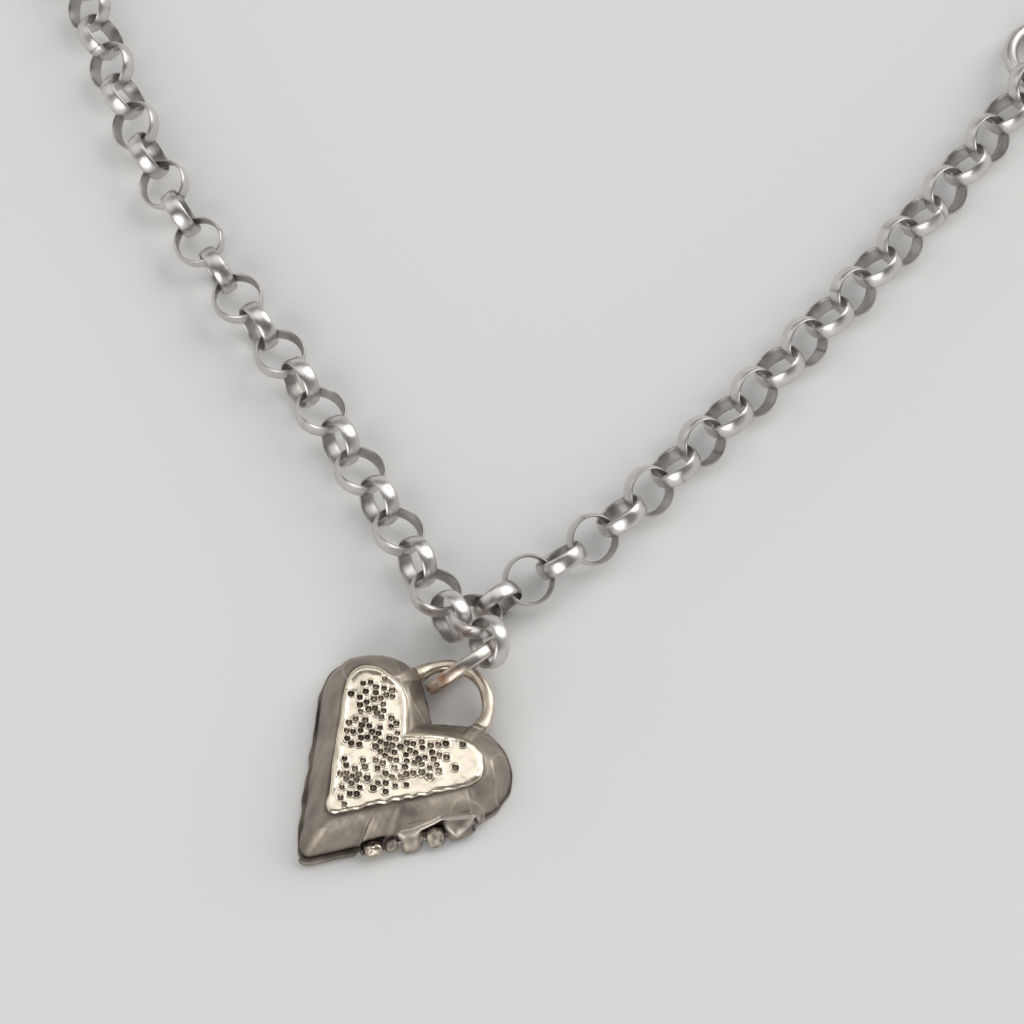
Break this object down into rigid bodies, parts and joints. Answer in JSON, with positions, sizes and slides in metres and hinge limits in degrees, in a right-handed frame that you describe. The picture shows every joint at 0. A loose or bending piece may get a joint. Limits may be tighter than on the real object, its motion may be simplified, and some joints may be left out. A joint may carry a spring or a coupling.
{
  "type": "heart locket on a chain",
  "caption": "Hinged heart locket in cast silver with a pitted raised face, hung by a loop and jump ring on a chain of round D-section links that ends in an open toggle.",
  "frame": {"origin": "on the heart's flat back, on its centre line, between the lobes' widest line and the tip", "axes": "+Z out of the heart's face, +Y from its tip to its hanging loop, +X across it to the hinge side"},
  "size_m": [0.1086, 0.1263, 0.009],
  "materials": {
    "satin_silver": "satin",
    "polished_silver": "polished",
    "bright_silver": "polished"
  },
  "bodies": {
    "locket_back": {"back_plate": "satin_silver", "hinge_pin": "bright_silver", "retaining_frame": "bright_silver", "catch_tongue": "bright_silver", "hanging_loop": "polished_silver"},
    "front_cover": {"front_cover": "satin_silver", "face_panel": "polished_silver"},
    "jump_ring": {"jump_ring": "satin_silver"},
    "drop_link": {"drop_link": "bright_silver"},
    "center_ring": {"center_ring": "bright_silver"},
    "left_link_01": {"left_link_01": "bright_silver"},
    "left_link_02": {"left_link_02": "bright_silver"},
    "left_link_03": {"left_link_03": "bright_silver"},
    "left_link_04": {"left_link_04": "bright_silver"},
    "left_link_05": {"left_link_05": "bright_silver"},
    "left_link_06": {"left_link_06": "bright_silver"},
    "left_link_07": {"left_link_07": "bright_silver"},
    "left_link_08": {"left_link_08": "bright_silver"},
    "left_link_09": {"left_link_09": "bright_silver"},
    "left_link_10": {"left_link_10": "bright_silver"},
    "left_link_11": {"left_link_11": "bright_silver"},
    "left_link_12": {"left_link_12": "bright_silver"},
    "left_link_13": {"left_link_13": "bright_silver"},
    "left_link_14": {"left_link_14": "bright_silver"},
    "left_link_15": {"left_link_15": "bright_silver"},
    "left_link_16": {"left_link_16": "bright_silver"},
    "left_link_17": {"left_link_17": "bright_silver"},
    "left_link_18": {"left_link_18": "bright_silver"},
    "left_link_19": {"left_link_19": "bright_silver"},
    "left_link_20": {"left_link_20": "bright_silver"},
    "left_link_21": {"left_link_21": "bright_silver"},
    "left_link_22": {"left_link_22": "bright_silver"},
    "left_link_23": {"left_link_23": "bright_silver"},
    "toggle_bar": {"toggle_bar": "bright_silver"},
    "right_link_01": {"right_link_01": "bright_silver"},
    "right_link_02": {"right_link_02": "bright_silver"},
    "right_link_03": {"right_link_03": "bright_silver"},
    "right_link_04": {"right_link_04": "bright_silver"},
    "right_link_05": {"right_link_05": "bright_silver"},
    "right_link_06": {"right_link_06": "bright_silver"},
    "right_link_07": {"right_link_07": "bright_silver"},
    "right_link_08": {"right_link_08": "bright_silver"},
    "right_link_09": {"right_link_09": "bright_silver"},
    "right_link_10": {"right_link_10": "bright_silver"},
    "right_link_11": {"right_link_11": "bright_silver"},
    "right_link_12": {"right_link_12": "bright_silver"},
    "right_link_13": {"right_link_13": "bright_silver"},
    "right_link_14": {"right_link_14": "bright_silver"},
    "right_link_15": {"right_link_15": "bright_silver"},
    "right_link_16": {"right_link_16": "bright_silver"},
    "right_link_17": {"right_link_17": "bright_silver"},
    "right_link_18": {"right_link_18": "bright_silver"},
    "right_link_19": {"right_link_19": "bright_silver"},
    "right_link_20": {"right_link_20": "bright_silver"},
    "right_link_21": {"right_link_21": "bright_silver"},
    "right_link_22": {"right_link_22": "bright_silver"},
    "toggle_ring": {"toggle_ring": "bright_silver"}
  },
  "joints": [
    {"name": "front_cover_hinge", "type": "hinge", "parent": "locket_back", "child": "front_cover", "pos_m": [0.00735, -0.00355, 0.001], "axis": [0.5708, 0.8211, 0], "range_deg": [0, 120]},
    {"name": "jump_ring_swing", "type": "hinge", "parent": "locket_back", "child": "jump_ring", "pos_m": [0, 0.0129, 0.0019], "axis": [0, 0, 1], "range_deg": [-6, 14]},
    {"name": "drop_link_swing", "type": "hinge", "parent": "jump_ring", "child": "drop_link", "pos_m": [-0.00046, 0.01379, 0.00536], "axis": [0, 0, -1], "range_deg": [-12, 3]},
    {"name": "center_ring_swing", "type": "hinge", "parent": "drop_link", "child": "center_ring", "pos_m": [-0.00181, 0.01612, 0.00551], "axis": [0, 0, 1], "range_deg": [-10, 18]},
    {"name": "left_link_01_swing", "type": "hinge", "parent": "center_ring", "child": "left_link_01", "pos_m": [-0.00456, 0.01631, 0.00416], "axis": [0, 0, -1], "range_deg": [-7, 5]},
    {"name": "left_link_02_swing", "type": "hinge", "parent": "left_link_01", "child": "left_link_02", "pos_m": [-0.00719, 0.01618, 0.00334], "axis": [0, 0, 1], "range_deg": [-4, 18]},
    {"name": "left_link_03_swing", "type": "hinge", "parent": "left_link_02", "child": "left_link_03", "pos_m": [-0.01059, 0.01733, 0.00307], "axis": [0, 0, -1], "range_deg": [-18, 18]},
    {"name": "left_link_04_swing", "type": "hinge", "parent": "left_link_03", "child": "left_link_04", "pos_m": [-0.01436, 0.01861, 0.00295], "axis": [0, 0, 1], "range_deg": [-18, 18]},
    {"name": "left_link_05_swing", "type": "hinge", "parent": "left_link_04", "child": "left_link_05", "pos_m": [-0.01815, 0.01986, 0.00288], "axis": [0, 0, -1], "range_deg": [-18, 18]},
    {"name": "left_link_06_swing", "type": "hinge", "parent": "left_link_05", "child": "left_link_06", "pos_m": [-0.02195, 0.02107, 0.00284], "axis": [0, 0, 1], "range_deg": [-18, 18]},
    {"name": "left_link_07_swing", "type": "hinge", "parent": "left_link_06", "child": "left_link_07", "pos_m": [-0.02575, 0.02224, 0.00284], "axis": [0, 0, -1], "range_deg": [-18, 18]},
    {"name": "left_link_08_swing", "type": "hinge", "parent": "left_link_07", "child": "left_link_08", "pos_m": [-0.02958, 0.02337, 0.00284], "axis": [0, 0, 1], "range_deg": [-18, 18]},
    {"name": "left_link_09_swing", "type": "hinge", "parent": "left_link_08", "child": "left_link_09", "pos_m": [-0.03343, 0.02446, 0.00286], "axis": [0, 0, -1], "range_deg": [-18, 18]},
    {"name": "left_link_10_swing", "type": "hinge", "parent": "left_link_09", "child": "left_link_10", "pos_m": [-0.03729, 0.02548, 0.00286], "axis": [0, 0, 1], "range_deg": [-18, 18]},
    {"name": "left_link_11_swing", "type": "hinge", "parent": "left_link_10", "child": "left_link_11", "pos_m": [-0.04117, 0.02641, 0.00286], "axis": [0, 0, -1], "range_deg": [-18, 18]},
    {"name": "left_link_12_swing", "type": "hinge", "parent": "left_link_11", "child": "left_link_12", "pos_m": [-0.04506, 0.02731, 0.00286], "axis": [0, 0, 1], "range_deg": [-18, 18]},
    {"name": "left_link_13_swing", "type": "hinge", "parent": "left_link_12", "child": "left_link_13", "pos_m": [-0.04894, 0.02829, 0.00286], "axis": [0, 0, -1], "range_deg": [-18, 18]},
    {"name": "left_link_14_swing", "type": "hinge", "parent": "left_link_13", "child": "left_link_14", "pos_m": [-0.05278, 0.02936, 0.00286], "axis": [0, 0, 1], "range_deg": [-18, 18]},
    {"name": "left_link_15_swing", "type": "hinge", "parent": "left_link_14", "child": "left_link_15", "pos_m": [-0.05661, 0.03052, 0.00286], "axis": [0, 0, -1], "range_deg": [-18, 18]},
    {"name": "left_link_16_swing", "type": "hinge", "parent": "left_link_15", "child": "left_link_16", "pos_m": [-0.0604, 0.03177, 0.00286], "axis": [0, 0, 1], "range_deg": [-18, 18]},
    {"name": "left_link_17_swing", "type": "hinge", "parent": "left_link_16", "child": "left_link_17", "pos_m": [-0.06413, 0.03317, 0.00286], "axis": [0, 0, -1], "range_deg": [-18, 18]},
    {"name": "left_link_18_swing", "type": "hinge", "parent": "left_link_17", "child": "left_link_18", "pos_m": [-0.06779, 0.03475, 0.00286], "axis": [0, 0, 1], "range_deg": [-18, 18]},
    {"name": "left_link_19_swing", "type": "hinge", "parent": "left_link_18", "child": "left_link_19", "pos_m": [-0.07137, 0.03646, 0.00286], "axis": [0, 0, -1], "range_deg": [-18, 18]},
    {"name": "left_link_20_swing", "type": "hinge", "parent": "left_link_19", "child": "left_link_20", "pos_m": [-0.07492, 0.03825, 0.00286], "axis": [0, 0, 1], "range_deg": [-18, 18]},
    {"name": "left_link_21_swing", "type": "hinge", "parent": "left_link_20", "child": "left_link_21", "pos_m": [-0.07844, 0.04008, 0.00286], "axis": [0, 0, -1], "range_deg": [-18, 18]},
    {"name": "left_link_22_swing", "type": "hinge", "parent": "left_link_21", "child": "left_link_22", "pos_m": [-0.08196, 0.04193, 0.00286], "axis": [0, 0, 1], "range_deg": [-18, 18]},
    {"name": "left_link_23_swing", "type": "hinge", "parent": "left_link_22", "child": "left_link_23", "pos_m": [-0.08548, 0.04377, 0.00286], "axis": [0, 0, -1], "range_deg": [-12, 18]},
    {"name": "toggle_bar_swing", "type": "hinge", "parent": "left_link_23", "child": "toggle_bar", "pos_m": [-0.08866, 0.04543, 0.00242], "axis": [0, 0, 1], "range_deg": [-12, 8]},
    {"name": "right_link_01_swing", "type": "hinge", "parent": "center_ring", "child": "right_link_01", "pos_m": [-0.00346, 0.01856, 0.00379], "axis": [0, 0, -1], "range_deg": [-18, 7]},
    {"name": "right_link_02_swing", "type": "hinge", "parent": "right_link_01", "child": "right_link_02", "pos_m": [-0.0031, 0.02216, 0.00282], "axis": [0, 0, 1], "range_deg": [-16, 5]},
    {"name": "right_link_03_swing", "type": "hinge", "parent": "right_link_02", "child": "right_link_03", "pos_m": [-0.00225, 0.02605, 0.00286], "axis": [0, 0, -1], "range_deg": [-18, 18]},
    {"name": "right_link_04_swing", "type": "hinge", "parent": "right_link_03", "child": "right_link_04", "pos_m": [-0.00134, 0.02992, 0.00286], "axis": [0, 0, 1], "range_deg": [-18, 18]},
    {"name": "right_link_05_swing", "type": "hinge", "parent": "right_link_04", "child": "right_link_05", "pos_m": [-0.0007, 0.03384, 0.00286], "axis": [0, 0, -1], "range_deg": [-18, 18]},
    {"name": "right_link_06_swing", "type": "hinge", "parent": "right_link_05", "child": "right_link_06", "pos_m": [-0.00036, 0.0378, 0.00286], "axis": [0, 0, 1], "range_deg": [-18, 18]},
    {"name": "right_link_07_swing", "type": "hinge", "parent": "right_link_06", "child": "right_link_07", "pos_m": [-0.00015, 0.04178, 0.00286], "axis": [0, 0, -1], "range_deg": [-18, 18]},
    {"name": "right_link_08_swing", "type": "hinge", "parent": "right_link_07", "child": "right_link_08", "pos_m": [0.00001, 0.04575, 0.00286], "axis": [0, 0, 1], "range_deg": [-18, 18]},
    {"name": "right_link_09_swing", "type": "hinge", "parent": "right_link_08", "child": "right_link_09", "pos_m": [0.00017, 0.04973, 0.00286], "axis": [0, 0, -1], "range_deg": [-18, 18]},
    {"name": "right_link_10_swing", "type": "hinge", "parent": "right_link_09", "child": "right_link_10", "pos_m": [0.0003, 0.0537, 0.00286], "axis": [0, 0, 1], "range_deg": [-18, 18]},
    {"name": "right_link_11_swing", "type": "hinge", "parent": "right_link_10", "child": "right_link_11", "pos_m": [0.0004, 0.05768, 0.00286], "axis": [0, 0, -1], "range_deg": [-18, 18]},
    {"name": "right_link_12_swing", "type": "hinge", "parent": "right_link_11", "child": "right_link_12", "pos_m": [0.00047, 0.06166, 0.00286], "axis": [0, 0, 1], "range_deg": [-18, 18]},
    {"name": "right_link_13_swing", "type": "hinge", "parent": "right_link_12", "child": "right_link_13", "pos_m": [0.00049, 0.06564, 0.00286], "axis": [0, 0, -1], "range_deg": [-18, 18]},
    {"name": "right_link_14_swing", "type": "hinge", "parent": "right_link_13", "child": "right_link_14", "pos_m": [0.00048, 0.06961, 0.00286], "axis": [0, 0, 1], "range_deg": [-18, 18]},
    {"name": "right_link_15_swing", "type": "hinge", "parent": "right_link_14", "child": "right_link_15", "pos_m": [0.00044, 0.07359, 0.00286], "axis": [0, 0, -1], "range_deg": [-18, 18]},
    {"name": "right_link_16_swing", "type": "hinge", "parent": "right_link_15", "child": "right_link_16", "pos_m": [0.00035, 0.07757, 0.00286], "axis": [0, 0, 1], "range_deg": [-18, 18]},
    {"name": "right_link_17_swing", "type": "hinge", "parent": "right_link_16", "child": "right_link_17", "pos_m": [0.00021, 0.08155, 0.00286], "axis": [0, 0, -1], "range_deg": [-18, 18]},
    {"name": "right_link_18_swing", "type": "hinge", "parent": "right_link_17", "child": "right_link_18", "pos_m": [0, 0.08552, 0.00286], "axis": [0, 0, 1], "range_deg": [-18, 18]},
    {"name": "right_link_19_swing", "type": "hinge", "parent": "right_link_18", "child": "right_link_19", "pos_m": [-0.00028, 0.08949, 0.00286], "axis": [0, 0, -1], "range_deg": [-18, 18]},
    {"name": "right_link_20_swing", "type": "hinge", "parent": "right_link_19", "child": "right_link_20", "pos_m": [-0.00061, 0.09345, 0.00286], "axis": [0, 0, 1], "range_deg": [-18, 18]},
    {"name": "right_link_21_swing", "type": "hinge", "parent": "right_link_20", "child": "right_link_21", "pos_m": [-0.00097, 0.09742, 0.00286], "axis": [0, 0, -1], "range_deg": [-18, 18]},
    {"name": "right_link_22_swing", "type": "hinge", "parent": "right_link_21", "child": "right_link_22", "pos_m": [-0.00133, 0.10139, 0.00288], "axis": [0, 0, 1], "range_deg": [-18, 12]},
    {"name": "toggle_ring_swing", "type": "hinge", "parent": "right_link_22", "child": "toggle_ring", "pos_m": [-0.00179, 0.1059, 0.00235], "axis": [0, 0, -1], "range_deg": [-18, 18]}
  ]
}
